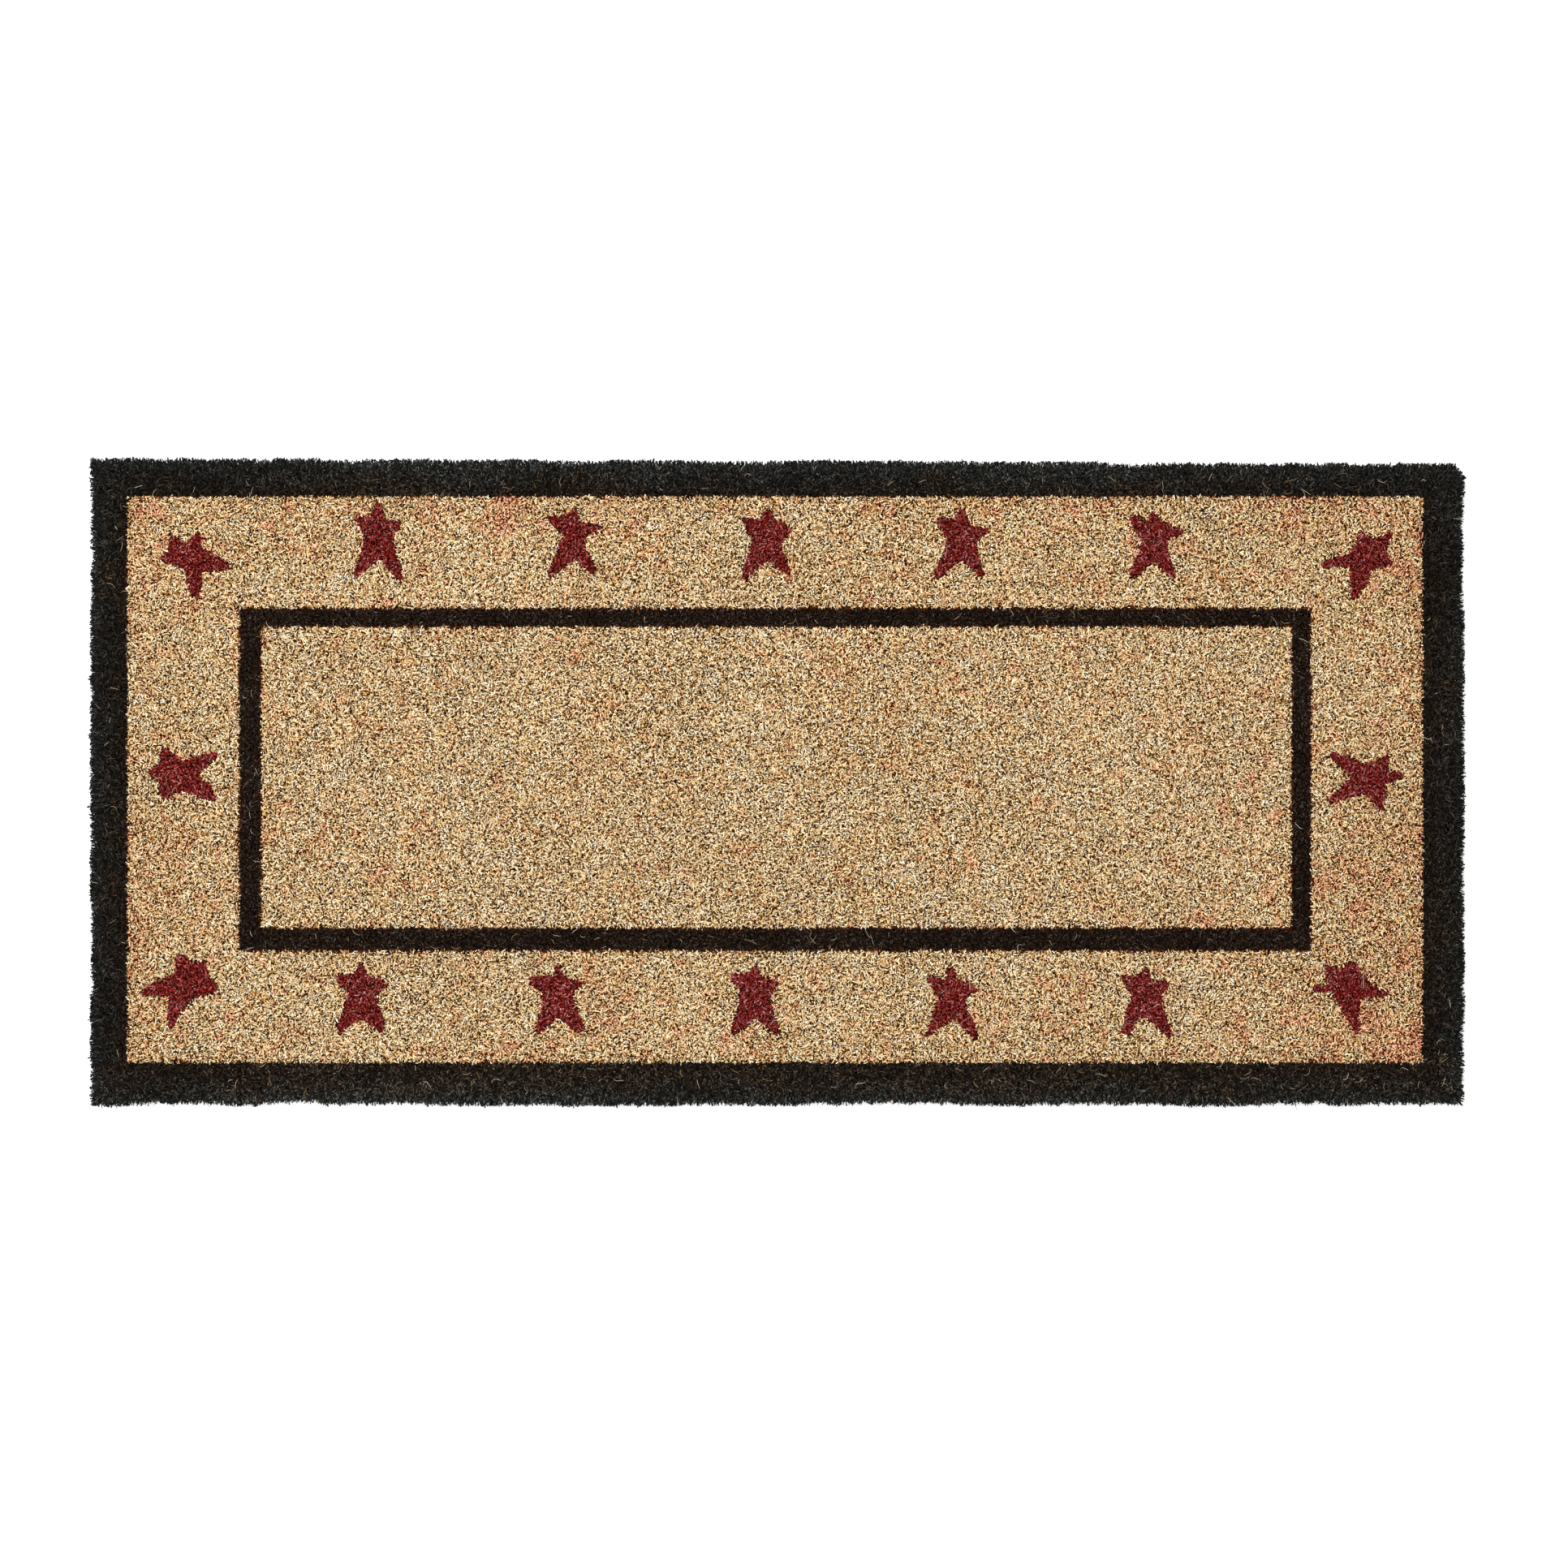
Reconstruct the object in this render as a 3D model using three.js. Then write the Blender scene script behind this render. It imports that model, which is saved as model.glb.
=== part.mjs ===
// A door mat of cut coir pile: tufts of coconut fibre set upright in a sheet of vinyl and sheared
// level, then coloured through stencils. Seen from above it has a black border, a natural band
// with sixteen red stars, a thin black line and a natural field. Each block of tufts of one colour
// is a piece of its own, rooted in the sheet. Millimetres, +Z up, +Y to the back; the origin is on
// the floor under the middle of the mat.

import * as THREE from "three";

// Sheet and pile
const matLength = 914.4; // left to right, over the leaning outer tufts
const matWidth = 430.5; // front to back, at the left end
const backEdgeFall = 4; // the back edge is cut out of square: this much lower at the right end
const cornerRadius = 5;
const sheetThickness = 2.5;
const pileHeight = 12.5; // above the sheet
const pileLean = 3; // the outermost tufts lean out this far past the sheet
const pileGap = 0.3; // between neighbouring blocks of tufts

// Printed pattern, measured inwards from the mat's edges
const borderWidth = 25.4;
const bandWidth = 75.3;
const lineWidth = 12.7;
const patternDrift = new THREE.Vector2(-1.5, 2.45); // how far the print sits off the mat's middle
const fieldDrift = new THREE.Vector2(0.8, 1.4); // how far the field sits off the line's middle

// Stars
const starHeight = 48;

// The stencils were cut by hand, so no two stars are alike. A star's outline goes anticlockwise
// about its middle, in stencil units, through its tips, which are mostly blunt, and the notches
// between them. Its drift is how far it sits from its place in the row, as a share of the room
// that a star leaves on each side of it across the band.
const stencilUnits = 48; // a star's height in stencil units
const backRow = [
  {
    drift: [0.56, -0.37],
    outline: [
      [2, 20], [-6, 12], [-17, 17], [-18, 6], [-24, 1],
      [-19, -2], [-7, -6], [-4, -21], [3, -27], [5, -8],
      [24, -6], [21, -1], [4, 9], [4, 17],
    ],
  },
  {
    drift: [-0.11, 0.5],
    outline: [
      [2, 26], [-2, 26], [-5, 17], [-16, 17], [-10, 5],
      [-10, -2], [-16, -19], [-16, -25], [-5, -15], [1, -11],
      [15, -27], [16, -22], [10, 0], [11, 5], [15, 11],
      [13, 14], [4, 16],
    ],
  },
  {
    drift: [-0.24, 0.5],
    outline: [
      [2, 24], [-4, 18], [-18, 17], [-7, 4], [-12, -9],
      [-17, -22], [-15, -24], [1, -11], [15, -23], [15, -16],
      [8, -2], [9, 5], [19, 9], [17, 12], [4, 14],
    ],
  },
  {
    drift: [-0.44, 0.42],
    outline: [
      [3, 22], [-2, 22], [-4, 16], [-17, 18], [-9, 2],
      [-13, -10], [-17, -23], [-14, -24], [0, -11], [16, -22],
      [16, -18], [11, -3], [11, 2], [18, 9], [14, 13],
      [6, 16],
    ],
  },
  {
    drift: [-0.6, 0.38],
    outline: [
      [3, 24], [0, 24], [-4, 18], [-15, 18], [-15, 13],
      [-9, 4], [-10, -2], [-16, -16], [-18, -22], [-15, -23],
      [1, -10], [15, -23], [16, -20], [11, -3], [11, 2],
      [19, 9], [18, 11], [7, 13],
    ],
  },
  {
    drift: [-0.76, 0.38],
    outline: [
      [-1, 24], [-4, 16], [-15, 20], [-16, 15], [-8, 3],
      [-11, -6], [-16, -17], [-16, -22], [-13, -23], [0, -11],
      [13, -24], [14, -20], [9, -3], [9, 4], [20, 8],
      [18, 11], [6, 15],
    ],
  },
  {
    drift: [-0.29, -0.41],
    outline: [
      [0, 20], [-4, 12], [-7, 5], [-25, 0], [-26, -4],
      [-7, -4], [-7, -20], [-6, -26], [-3, -24], [4, -16],
      [7, -6], [21, -3], [17, 8], [21, 19], [8, 15],
    ],
  },
];
const frontRow = [
  {
    drift: [-0.15, 0.73],
    outline: [
      [3, 24], [0, 25], [-3, 23], [-4, 12], [-12, 9],
      [-28, 0], [-26, -3], [-8, -3], [-9, -22], [-7, -26],
      [7, -5], [24, -1], [25, 3], [19, 10], [17, 20],
      [9, 20],
    ],
  },
  {
    drift: [-0.95, 0.41],
    outline: [
      [0, 25], [-5, 16], [-18, 15], [-16, 11], [-9, 4],
      [-11, -5], [-16, -18], [-15, -25], [-9, -19], [0, -14],
      [13, -23], [16, -20], [15, -14], [10, 1], [18, 9],
      [15, 12], [5, 15],
    ],
  },
  {
    drift: [-0.91, 0.41],
    outline: [
      [1, 22], [-2, 22], [-4, 15], [-16, 15], [-20, 13],
      [-19, 9], [-11, 3], [-12, -5], [-16, -22], [-13, -24],
      [-1, -13], [14, -24], [17, -20], [9, 0], [9, 4],
      [18, 11], [4, 13],
    ],
  },
  {
    drift: [-0.95, 0.37],
    outline: [
      [0, 23], [-5, 17], [-15, 17], [-17, 13], [-10, 5],
      [-11, -3], [-17, -22], [-15, -24], [1, -13], [14, -25],
      [17, -22], [12, -10], [10, 0], [11, 5], [17, 11],
      [4, 15],
    ],
  },
  {
    drift: [-1, 0.09],
    outline: [
      [1, 24], [-2, 24], [-4, 17], [-16, 18], [-15, 14],
      [-9, 5], [-11, -2], [-16, -15], [-18, -21], [-14, -20],
      [2, -9], [15, -23], [17, -22], [15, -14], [9, 0],
      [9, 4], [17, 10], [11, 15], [4, 16],
    ],
  },
  {
    drift: [-1.16, 0.17],
    outline: [
      [1, 24], [-2, 23], [-3, 18], [-17, 18], [-14, 13],
      [-9, 5], [-14, -8], [-16, -20], [-11, -21], [-6, -12],
      [0, -9], [15, -23], [18, -22], [10, 3], [11, 6],
      [16, 12], [14, 14], [4, 16],
    ],
  },
  {
    drift: [-0.64, 0.48],
    outline: [
      [1, 23], [-4, 23], [-8, 18], [-19, 22], [-19, 12],
      [-16, 8], [-27, 7], [-26, 3], [-14, 3], [-11, -4],
      [2, -25], [4, -24], [4, -2], [12, 0], [25, 1],
      [14, 7], [4, 17],
    ],
  },
];
const leftStar = {
  drift: [0.01, 0.34],
  outline: [
    [-15, 19], [-16, 6], [-23, 2], [-22, -3], [-16, -7],
    [-17, -11], [-14, -18], [-10, -17], [-2, -12], [18, -19],
    [22, -18], [18, -8], [11, -4], [10, 0], [19, 7],
    [23, 13], [21, 14], [-1, 8], [-9, 14],
  ],
};
const rightStar = {
  drift: [-0.05, 0.02],
  outline: [
    [15, 17], [7, 12], [0, 10], [-9, 14], [-22, 18],
    [-25, 15], [-10, 2], [-14, -3], [-26, -14], [-24, -16],
    [-9, -12], [0, -10], [10, -21], [12, -20], [14, -3],
    [25, 1], [25, 4], [16, 5],
  ],
};

const point = (x, y) => new THREE.Vector2(x, y);

// A rectangle by its two opposite corners, with its sides named.
function rectangle(left, front, right, back) {
  return { left, front, right, back };
}

function shrunk(r, by, shift = point(0, 0)) {
  return rectangle(
    r.left + by + shift.x,
    r.front + by + shift.y,
    r.right - by + shift.x,
    r.back - by + shift.y,
  );
}

// The mat's box, and the pattern's rectangles inside it. The pattern is square, whatever the back
// edge does, so the back border is measured from the middle of that edge.
const mat = rectangle(-matLength / 2, -matWidth / 2, matLength / 2, matWidth / 2);
const printed = rectangle(mat.left, mat.front, mat.right, mat.back - backEdgeFall / 2);
const bandOuter = shrunk(printed, borderWidth, patternDrift);
const lineOuter = shrunk(bandOuter, bandWidth);
const fieldOuter = shrunk(lineOuter, lineWidth, fieldDrift);

// The y of the mat's back edge at x.
const backEdge = (x) => mat.back - (backEdgeFall * (x - mat.left)) / matLength;

// A closed outline through the corners, anticlockwise; a corner with a radius is rounded.
const cornerSteps = 6; // straight steps round a corner

function outline(corners) {
  const path = new THREE.Path();
  corners.forEach(({ at, radius = 0 }, i) => {
    const before = corners.at(i - 1).at;
    const after = corners[(i + 1) % corners.length].at;
    const start = at.clone().add(before.clone().sub(at).setLength(radius));
    const end = at.clone().add(after.clone().sub(at).setLength(radius));
    if (i === 0) path.moveTo(start.x, start.y);
    else path.lineTo(start.x, start.y);
    if (radius > 0) path.quadraticCurveTo(at.x, at.y, end.x, end.y);
  });
  return path.getPoints(cornerSteps);
}

// The mat's own four corners, drawn in by the given amount.
function matCorners(inset) {
  const [left, right] = [mat.left + inset, mat.right - inset];
  const radius = cornerRadius;
  return {
    frontLeft: { at: point(left, mat.front + inset), radius },
    frontRight: { at: point(right, mat.front + inset), radius },
    backRight: { at: point(right, backEdge(right) - inset), radius },
    backLeft: { at: point(left, backEdge(left) - inset), radius },
  };
}

// A closed solid between a lower and an upper outline that have the same number of points.
function loft(lower, upper, height) {
  const count = upper.length;
  const places = [
    ...lower.flatMap(({ x, y }) => [x, y, 0]),
    ...upper.flatMap(({ x, y }) => [x, y, height]),
  ];
  const faces = [];
  for (const [a, b, c] of THREE.ShapeUtils.triangulateShape(upper, [])) {
    faces.push(a, c, b);
    faces.push(count + a, count + b, count + c);
  }
  for (let i = 0; i < count; i++) {
    const next = (i + 1) % count;
    faces.push(i, next, count + next);
    faces.push(i, count + next, count + i);
  }
  const geometry = new THREE.BufferGeometry();
  geometry.setAttribute("position", new THREE.Float32BufferAttribute(places, 3));
  geometry.setIndex(faces);
  geometry.computeVertexNormals();
  return geometry;
}

// An upright solid of the given height, with holes right through it.
function upright(points, height, holes = []) {
  const shape = new THREE.Shape(points);
  shape.holes = holes.map((hole) => new THREE.Path(hole));
  return new THREE.ExtrudeGeometry(shape, { depth: height, bevelEnabled: false });
}

const cornersOf = (r) => [
  point(r.left, r.front),
  point(r.right, r.front),
  point(r.right, r.back),
  point(r.left, r.back),
];

// An anticlockwise outline moved outwards by a distance, its corners kept sharp.
function widened(points, distance) {
  const outward = (from, to) => point(to.y - from.y, from.x - to.x).setLength(distance);
  return points.map((at, i) => {
    const before = outward(points.at(i - 1), at);
    const after = outward(at, points[(i + 1) % points.length]);
    const along = before.clone().add(after);
    return at.clone().add(along.multiplyScalar((2 * distance ** 2) / along.lengthSq()));
  });
}

const material = (color, roughness) => new THREE.MeshStandardMaterial({ color, roughness, metalness: 0 });
const vinyl = material("#1d1b19", 0.6);
const blackPile = material("#24201b", 0.95);
const brownBlackPile = material("#281d15", 0.95);
const naturalPile = material("#b6986f", 0.95);
const redPile = material("#682824", 0.95);

function piece(name, geometry, surface, at = point(0, 0)) {
  const mesh = new THREE.Mesh(geometry, surface);
  mesh.name = name;
  mesh.position.set(at.x, at.y, 0);
  return mesh;
}

// The vinyl sheet that every tuft is set in, its underside flat on the floor.
const sheet = piece(
  "vinyl_base",
  upright(outline(Object.values(matCorners(pileLean))), sheetThickness),
  vinyl,
);

// All the pile stands on the sheet.
const pile = new THREE.Group();
pile.position.z = sheetThickness;

// The border: its tufts are rooted in the sheet, and the outermost lean out past its cut edge.
// The back and front runs go from end to end, and the side runs lie between them.
const halfGap = pileGap / 2;

function borderRun(side, inset) {
  const { frontLeft, frontRight, backRight, backLeft } = matCorners(inset);
  const [left, right] = [frontLeft.at.x, frontRight.at.x];
  const inner = shrunk(bandOuter, -halfGap); // where the border stops, all round
  const ends = shrunk(bandOuter, halfGap); // where the side runs stop, short of the others
  const square = (x, y) => ({ at: point(x, y) });
  const corners = {
    front: [frontLeft, frontRight, square(right, inner.front), square(left, inner.front)],
    back: [square(left, inner.back), square(right, inner.back), backRight, backLeft],
    left: cornersOf(rectangle(left, ends.front, inner.left, ends.back)).map((at) => ({ at })),
    right: cornersOf(rectangle(inner.right, ends.front, right, ends.back)).map((at) => ({ at })),
  };
  return outline(corners[side]);
}

for (const side of ["back", "front", "left", "right"]) {
  const roots = borderRun(side, pileLean);
  const tips = borderRun(side, 0);
  pile.add(piece(`border_pile_${side}`, loft(roots, tips, pileHeight), blackPile));
}

// The four straight runs between an outer and an inner rectangle, each drawn in by half the gap.
// The back and front runs go from end to end, and the side runs lie between them.
function runsBetween(outer, inner) {
  return {
    back: rectangle(outer.left, inner.back, outer.right, outer.back),
    front: rectangle(outer.left, outer.front, outer.right, inner.front),
    left: rectangle(outer.left, inner.front, inner.left, inner.back),
    right: rectangle(inner.right, inner.front, outer.right, inner.back),
  };
}

// The stars, each with the run of the band that it stands in. Their places lie along the middle
// of the band, with a star at each corner.
const starPlaces = shrunk(bandOuter, bandWidth / 2);
const rowPitch = (starPlaces.right - starPlaces.left) / (backRow.length - 1);
const sideMiddle = (starPlaces.front + starPlaces.back) / 2;
const starRoom = (bandWidth - starHeight) / 2;
const starScale = starHeight / stencilUnits;

function star(name, run, stencil, x, y) {
  const middle = point(...stencil.drift).multiplyScalar(starRoom).add(point(x, y));
  const points = stencil.outline.map(([across, up]) => point(across, up).multiplyScalar(starScale));
  return { name, run, middle, points };
}

function rowOfStars(run, stencils, y) {
  return stencils.map((stencil, i) =>
    star(`star_${run}_${i + 1}`, run, stencil, starPlaces.left + i * rowPitch, y),
  );
}

const stars = [
  ...rowOfStars("back", backRow, starPlaces.back),
  ...rowOfStars("front", frontRow, starPlaces.front),
  star("star_left", "left", leftStar, starPlaces.left, sideMiddle),
  star("star_right", "right", rightStar, starPlaces.right, sideMiddle),
];

// The natural band, with a star-shaped hole for each star that stands in it.
for (const [side, run] of Object.entries(runsBetween(bandOuter, lineOuter))) {
  const holes = stars
    .filter((s) => s.run === side)
    .map((s) => widened(s.points, pileGap).map((p) => p.add(s.middle)));
  const outer = cornersOf(shrunk(run, halfGap));
  pile.add(piece(`band_pile_${side}`, upright(outer, pileHeight, holes), naturalPile));
}

for (const { name, points, middle } of stars) {
  pile.add(piece(name, upright(points, pileHeight), redPile, middle));
}

// The thin black line, and the field inside it.
for (const [side, run] of Object.entries(runsBetween(lineOuter, fieldOuter))) {
  const outer = cornersOf(shrunk(run, halfGap));
  pile.add(piece(`line_pile_${side}`, upright(outer, pileHeight), brownBlackPile));
}

const field = shrunk(fieldOuter, halfGap);
pile.add(piece("field_pile", upright(cornersOf(field), pileHeight), naturalPile));

const doorMat = new THREE.Group();
doorMat.add(sheet, pile);

export default doorMat;
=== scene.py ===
"""The looks of a door mat of cut coir pile: a vinyl sheet with coconut-fibre tufts set in it,
dyed through stencils into a black border, a natural band with red stars, a thin black line and
a natural field. Metres, +Z up, +Y to the back of the mat."""

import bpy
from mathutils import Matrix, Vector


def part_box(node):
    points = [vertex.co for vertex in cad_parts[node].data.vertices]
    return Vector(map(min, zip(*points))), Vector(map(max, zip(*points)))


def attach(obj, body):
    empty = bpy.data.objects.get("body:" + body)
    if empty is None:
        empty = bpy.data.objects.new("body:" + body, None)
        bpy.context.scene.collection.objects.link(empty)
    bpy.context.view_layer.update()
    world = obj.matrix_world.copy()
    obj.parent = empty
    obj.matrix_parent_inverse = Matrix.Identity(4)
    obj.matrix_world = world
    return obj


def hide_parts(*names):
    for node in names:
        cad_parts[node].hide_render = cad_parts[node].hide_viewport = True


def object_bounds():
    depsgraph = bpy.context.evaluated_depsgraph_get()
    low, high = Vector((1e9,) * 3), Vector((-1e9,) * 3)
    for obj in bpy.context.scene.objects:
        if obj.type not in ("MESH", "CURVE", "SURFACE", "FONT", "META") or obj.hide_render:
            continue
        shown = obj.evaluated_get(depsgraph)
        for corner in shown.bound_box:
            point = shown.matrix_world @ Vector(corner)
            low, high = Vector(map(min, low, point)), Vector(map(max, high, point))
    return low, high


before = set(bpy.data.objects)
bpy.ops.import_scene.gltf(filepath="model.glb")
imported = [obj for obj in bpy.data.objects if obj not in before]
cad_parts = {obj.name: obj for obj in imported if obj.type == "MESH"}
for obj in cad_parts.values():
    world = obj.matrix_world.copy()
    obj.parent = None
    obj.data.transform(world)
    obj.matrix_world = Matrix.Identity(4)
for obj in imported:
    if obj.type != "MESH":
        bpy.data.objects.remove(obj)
cad_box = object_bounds()

from types import SimpleNamespace

import bpy
import numpy as np

# ---------------------------------------------------------------------------------------------
# The view and the light. The mat lies on a white studio floor and is seen from straight above,
# under a wide soft lamp and an even white surround.
# ---------------------------------------------------------------------------------------------
tread_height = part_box("field_pile")[1].z
seen_across = 1.0442  # width of the view at the tread
view_middle = (0.0044, -0.0015)

lens = bpy.data.cameras.new("overhead_camera")
lens.sensor_width = 36
lens.lens = 120
lens.clip_end = 50
camera = bpy.data.objects.new("overhead_camera", lens)
camera_height = tread_height + seen_across * lens.lens / lens.sensor_width
camera.location = (*view_middle, camera_height)
bpy.context.collection.objects.link(camera)
bpy.context.scene.camera = camera
bpy.context.scene.view_settings.view_transform = "Standard"


def node(tree, kind, inputs=None, **settings):
    """Adds a shader node; an input is linked if it is given a socket, and set otherwise."""
    made = tree.nodes.new("ShaderNode" + kind)
    for key, value in settings.items():
        setattr(made, key, value)
    for key, value in (inputs or {}).items():
        if isinstance(value, bpy.types.NodeSocket):
            tree.links.new(value, made.inputs[key])
        else:
            made.inputs[key].default_value = value
    return made


def new_material(name):
    """An empty node material, with its tree and its output."""
    made = bpy.data.materials.new(name)
    made.use_nodes = True
    made.node_tree.nodes.clear()
    return made, made.node_tree


def surface(tree, shader):
    """Ends the material's tree with the shader."""
    node(tree, "OutputMaterial", {"Surface": shader.outputs[0]})


surround = bpy.data.worlds.new("studio_surround")
surround.use_nodes = True
surround.node_tree.nodes["Background"].inputs["Color"].default_value = (1, 1, 1, 1)
surround.node_tree.nodes["Background"].inputs["Strength"].default_value = 1.2
bpy.context.scene.world = surround

lamp_data = bpy.data.lights.new("soft_lamp", "AREA")
lamp_data.shape = "SQUARE"
lamp_data.size = 2.6
lamp_data.energy = 96
lamp = bpy.data.objects.new("soft_lamp", lamp_data)
lamp.location = (-0.5, 0.5, 2.6)
lamp.rotation_euler = (-0.19, -0.19, 0)
lamp.visible_camera = False
bpy.context.collection.objects.link(lamp)

floor_reach = 6
floor_level = -0.0003  # a hair under the mat, so that the two faces never coincide
floor_signs = ((-1, -1), (1, -1), (1, 1), (-1, 1))
floor_corners = [(x * floor_reach, y * floor_reach, floor_level) for x, y in floor_signs]
floor_mesh = bpy.data.meshes.new("studio_floor")
floor_mesh.from_pydata(floor_corners, [], [(0, 1, 2, 3)])
floor = bpy.data.objects.new("studio_floor", floor_mesh)
bpy.context.collection.objects.link(floor)
floor_paint, tree = new_material("studio_floor_paint")
surface(tree, node(tree, "BsdfDiffuse", {"Color": (0.9, 0.9, 0.9, 1)}))
floor_mesh.materials.append(floor_paint)

# ---------------------------------------------------------------------------------------------
# The vinyl sheet. Soft PVC poured 2.5 mm thick on the fibre and cut to size with a knife, so its
# edge is slightly uneven. Its underside carries the print of the casting cloth and the flecks of
# fibre ends that came through.
# ---------------------------------------------------------------------------------------------
sheet_low, sheet_high = (np.array(corner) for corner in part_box("vinyl_base"))
sheet_columns = 150
sheet_rows = 70
sheet_corner = 0.005
knife_wander = 0.0004
cast_ripple = 0.00012
chance = np.random.default_rng(11)


def ramp(tree, factor, stops, interpolation="LINEAR"):
    """A colour ramp through the given places and colours; a plain number is a grey."""
    made = node(tree, "ValToRGB", {"Fac": factor})
    made.color_ramp.interpolation = interpolation
    points = made.color_ramp.elements
    places = sorted(stops)
    points[0].position, points[1].position = places[0], places[-1]
    for place in places[1:-1]:
        points.new(place)
    for point, place in zip(points, places):
        colour = stops[place]
        point.color = (*colour, 1) if isinstance(colour, tuple) else (colour, colour, colour, 1)
    return made.outputs["Color"]


def times(tree, *colours):
    """The colours multiplied together."""
    product = colours[0]
    for colour in colours[1:]:
        made = node(tree, "VectorMath", {0: product, 1: colour}, operation="MULTIPLY")
        product = made.outputs["Vector"]
    return product


def lay_mesh(name, points, faces, finish, smooth, corner_map=None):
    """A piece from an array of points and one of triangles, with its map place at each corner."""
    mesh = bpy.data.meshes.new(name)
    mesh.vertices.add(len(points))
    mesh.vertices.foreach_set("co", np.ascontiguousarray(points, np.float32).ravel())
    mesh.loops.add(faces.size)
    mesh.loops.foreach_set("vertex_index", np.ascontiguousarray(faces, np.int32).ravel())
    mesh.polygons.add(len(faces))
    mesh.polygons.foreach_set("loop_start", np.arange(0, faces.size, faces.shape[1], dtype=np.int32))
    mesh.polygons.foreach_set("use_smooth", np.full(len(faces), smooth))
    if corner_map is not None:
        laid = mesh.uv_layers.new(name="OFBake")
        laid.uv.foreach_set("vector", np.ascontiguousarray(corner_map, np.float32).ravel())
    mesh.update(calc_edges=True)
    mesh.validate()
    mesh.materials.append(finish)
    piece = bpy.data.objects.new(name, mesh)
    bpy.context.collection.objects.link(piece)
    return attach(piece, "root")


def slab(across, up, lower, upper):
    """A closed slab over a grid of places: an upper and a lower face, each the grid's squares cut
    in two, and a wall round the rim that joins them. Returns its points and triangles."""
    rows, columns = across.shape
    count = rows * columns
    index = np.arange(count).reshape(rows, columns)
    a, b = index[:-1, :-1].ravel(), index[:-1, 1:].ravel()
    d, c = index[1:, :-1].ravel(), index[1:, 1:].ravel()
    top = np.concatenate([np.stack([a, b, c], 1), np.stack([a, c, d], 1)])
    rim = np.concatenate([index[0, :-1], index[:-1, -1], index[-1, :0:-1], index[:0:-1, 0]])
    after = np.roll(rim, -1)
    wall = np.concatenate([
        np.stack([rim + count, after + count, after], 1),
        np.stack([rim + count, after, rim], 1),
    ])
    points = np.concatenate([
        np.stack([across.ravel(), up.ravel(), upper.ravel()], 1),
        np.stack([across.ravel(), up.ravel(), lower.ravel()], 1),
    ])
    return points, np.concatenate([top, top[:, ::-1] + count, wall])


def rounded_grid(low, high, columns, rows, radius, back_fall=0.0):
    """Places over a rectangle from low to high. Near a corner, within its radius, a place is
    drawn towards the corner's centre so that the rim follows a quarter circle there. The back
    edge falls by back_fall from the left end to the right."""
    across, up = np.meshgrid(np.linspace(low[0], high[0], columns), np.linspace(0, 1, rows))
    back = high[1] - back_fall * (across - low[0]) / (high[0] - low[0])
    up = low[1] + up * (back - low[1])
    centre = (low[:2] + high[:2]) / 2
    from_x, from_y = across - centre[0], up - centre[1]
    half_x = (high[0] - low[0]) / 2
    half_y = np.where(from_y > 0, back - centre[1], centre[1] - low[1])
    in_x = np.clip((np.abs(from_x) - (half_x - radius)) / radius, 0, 1)
    in_y = np.clip((np.abs(from_y) - (half_y - radius)) / radius, 0, 1)
    across = across - np.sign(from_x) * radius * in_x * (1 - np.sqrt(1 - in_y**2 / 2))
    up = up - np.sign(from_y) * radius * in_y * (1 - np.sqrt(1 - in_x**2 / 2))
    return across, up


back_fall = 0.004  # the back edge is cut out of square
sheet_x, sheet_y = rounded_grid(
    sheet_low, sheet_high, sheet_columns, sheet_rows, sheet_corner, back_fall
)
sheet_rim = np.zeros(sheet_x.shape, bool)
sheet_rim[[0, -1]] = sheet_rim[:, [0, -1]] = True
wander = chance.uniform(-knife_wander, 0, sheet_x.shape) * sheet_rim
sheet_x = sheet_x + np.sign(sheet_x) * wander
sheet_y = sheet_y + np.sign(sheet_y) * wander
ripple = chance.uniform(0, cast_ripple, sheet_x.shape) * ~sheet_rim
sheet_points, sheet_faces = slab(
    sheet_x, sheet_y, sheet_low[2] + ripple, np.full(sheet_x.shape, sheet_high[2])
)

vinyl, tree = new_material("cast_vinyl")
place = node(tree, "TexCoord").outputs["Object"]
weave = {"Vector": place, "Scale": 210, "Distortion": 1.5, "Detail": 1}
cloth_x = node(tree, "TexWave", weave)
cloth_y = node(tree, "TexWave", weave, bands_direction="Y")
cloth = times(tree, cloth_x.outputs["Color"], cloth_y.outputs["Color"])
clouds = node(tree, "TexNoise", {"Vector": place, "Scale": 45, "Detail": 6}).outputs["Fac"]
flecks = node(tree, "TexVoronoi", {"Vector": place, "Scale": 260}).outputs["Distance"]
shade = ramp(tree, clouds, {0.3: (0.009, 0.008, 0.0075), 0.7: (0.017, 0.015, 0.013)})
fleck_tint = ramp(tree, flecks, {0.05: (7.0, 5.0, 3.2), 0.14: (1.0, 1.0, 1.0)})
shine = ramp(tree, clouds, {0.3: 0.42, 0.7: 0.68})
relief = node(tree, "Bump", {"Height": cloth, "Strength": 0.5, "Distance": 0.0002})
surface(tree, node(tree, "BsdfPrincipled", {
    "Base Color": times(tree, shade, fleck_tint),
    "Roughness": shine,
    "Normal": relief.outputs["Normal"],
    "Specular IOR Level": 0.4,
}))
sheet = lay_mesh("vinyl_sheet", sheet_points, sheet_faces, vinyl, False)
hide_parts("vinyl_base")

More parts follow.
